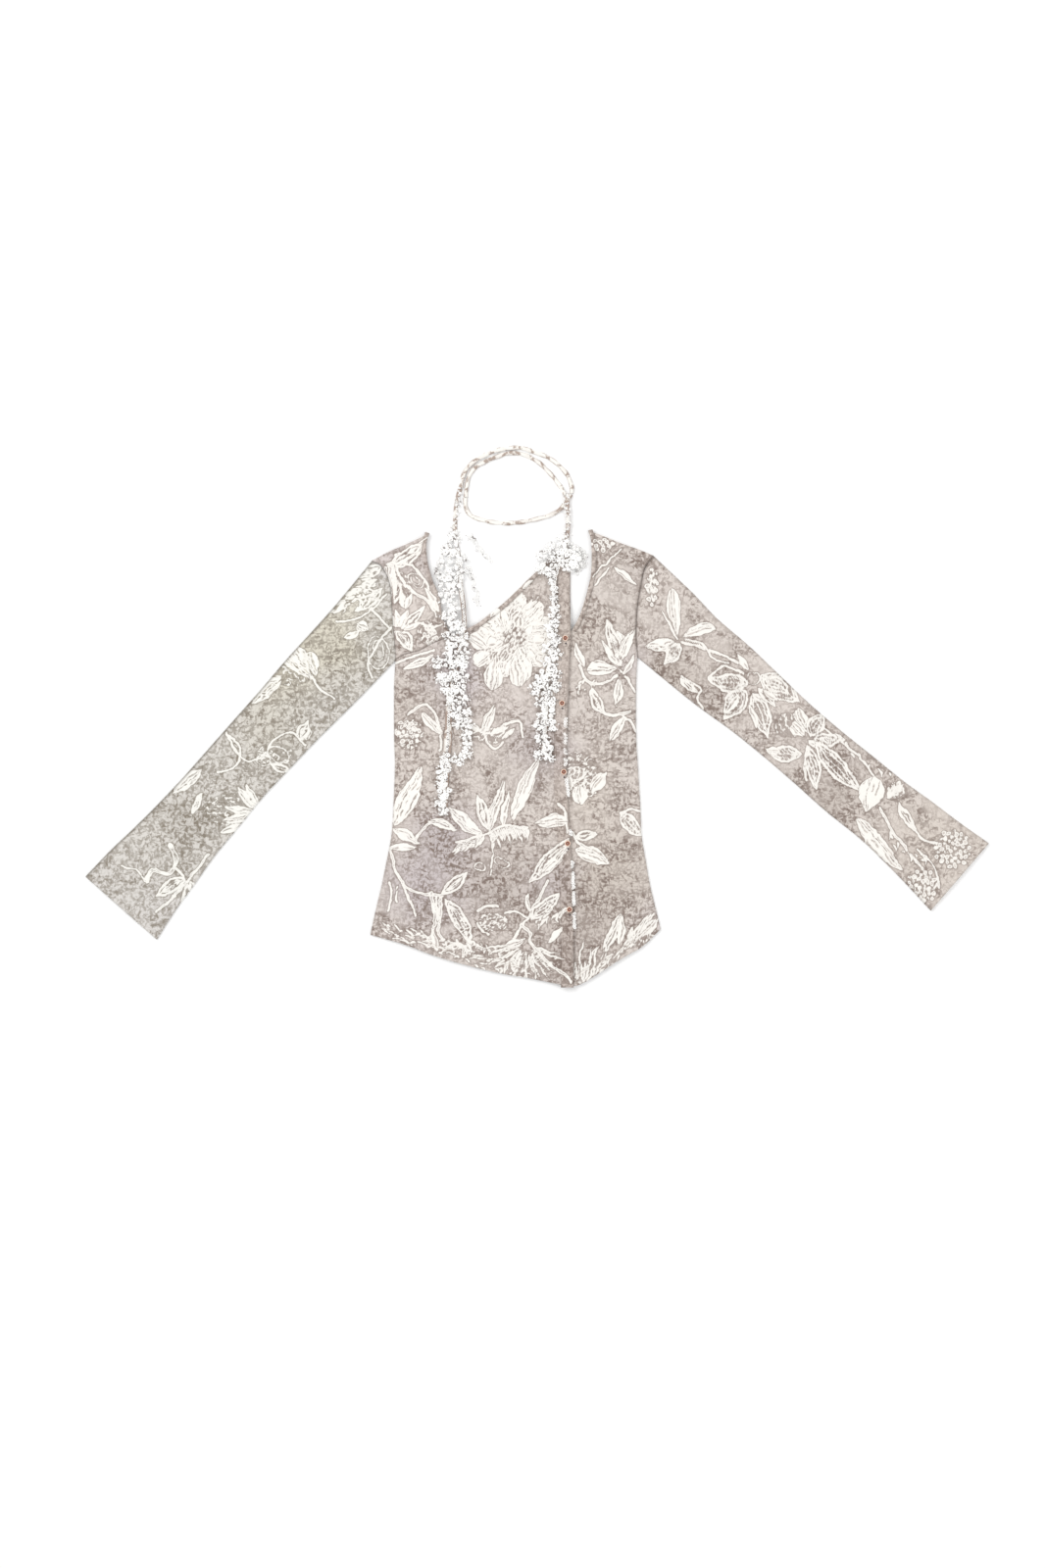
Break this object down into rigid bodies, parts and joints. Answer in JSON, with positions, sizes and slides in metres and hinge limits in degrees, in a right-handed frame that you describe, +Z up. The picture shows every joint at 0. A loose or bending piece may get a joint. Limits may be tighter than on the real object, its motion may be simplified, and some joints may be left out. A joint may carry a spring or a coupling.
{
  "type": "long-sleeved top",
  "caption": "Slim long-sleeved top laid flat, with a slanted neckline, a buttoned side front, bell cuffs and a thin neck scarf with crochet lace on its tails.",
  "frame": {"origin": "on the ground, below the middle of the laid-out top's bounding box", "axes": "+X to the right of the top as seen from above, +Y towards its neck, +Z up out of its front"},
  "size_m": [1.2898, 0.7733, 0.0101],
  "materials": {
    "jersey": "fine jersey, off-white leaves and flowers on a mottled taupe ground, matte",
    "binding": "the same jersey as narrow folded strips, matte",
    "scarf": "the same jersey rolled into a thin cord, matte",
    "lace": "white cotton crochet flowers, matte",
    "button": "amber-brown, soft gloss"
  },
  "bodies": {
    "root": {"back": "jersey", "front_main": "jersey", "front_side": "jersey", "yoke_left": "jersey", "sleeve_left": "jersey", "sleeve_right": "jersey", "binding_left": "binding", "binding_slanted": "binding", "binding_right": "binding", "button_band": "binding", "button_1": "button", "button_2": "button", "button_3": "button", "button_4": "button", "button_5": "button", "scarf_outer": "scarf", "scarf_front": "scarf", "scarf_inner": "scarf", "scarf_tail_left": "scarf", "scarf_tail_right": "scarf", "lace_left": "lace", "lace_right": "lace"}
  },
  "joints": []
}
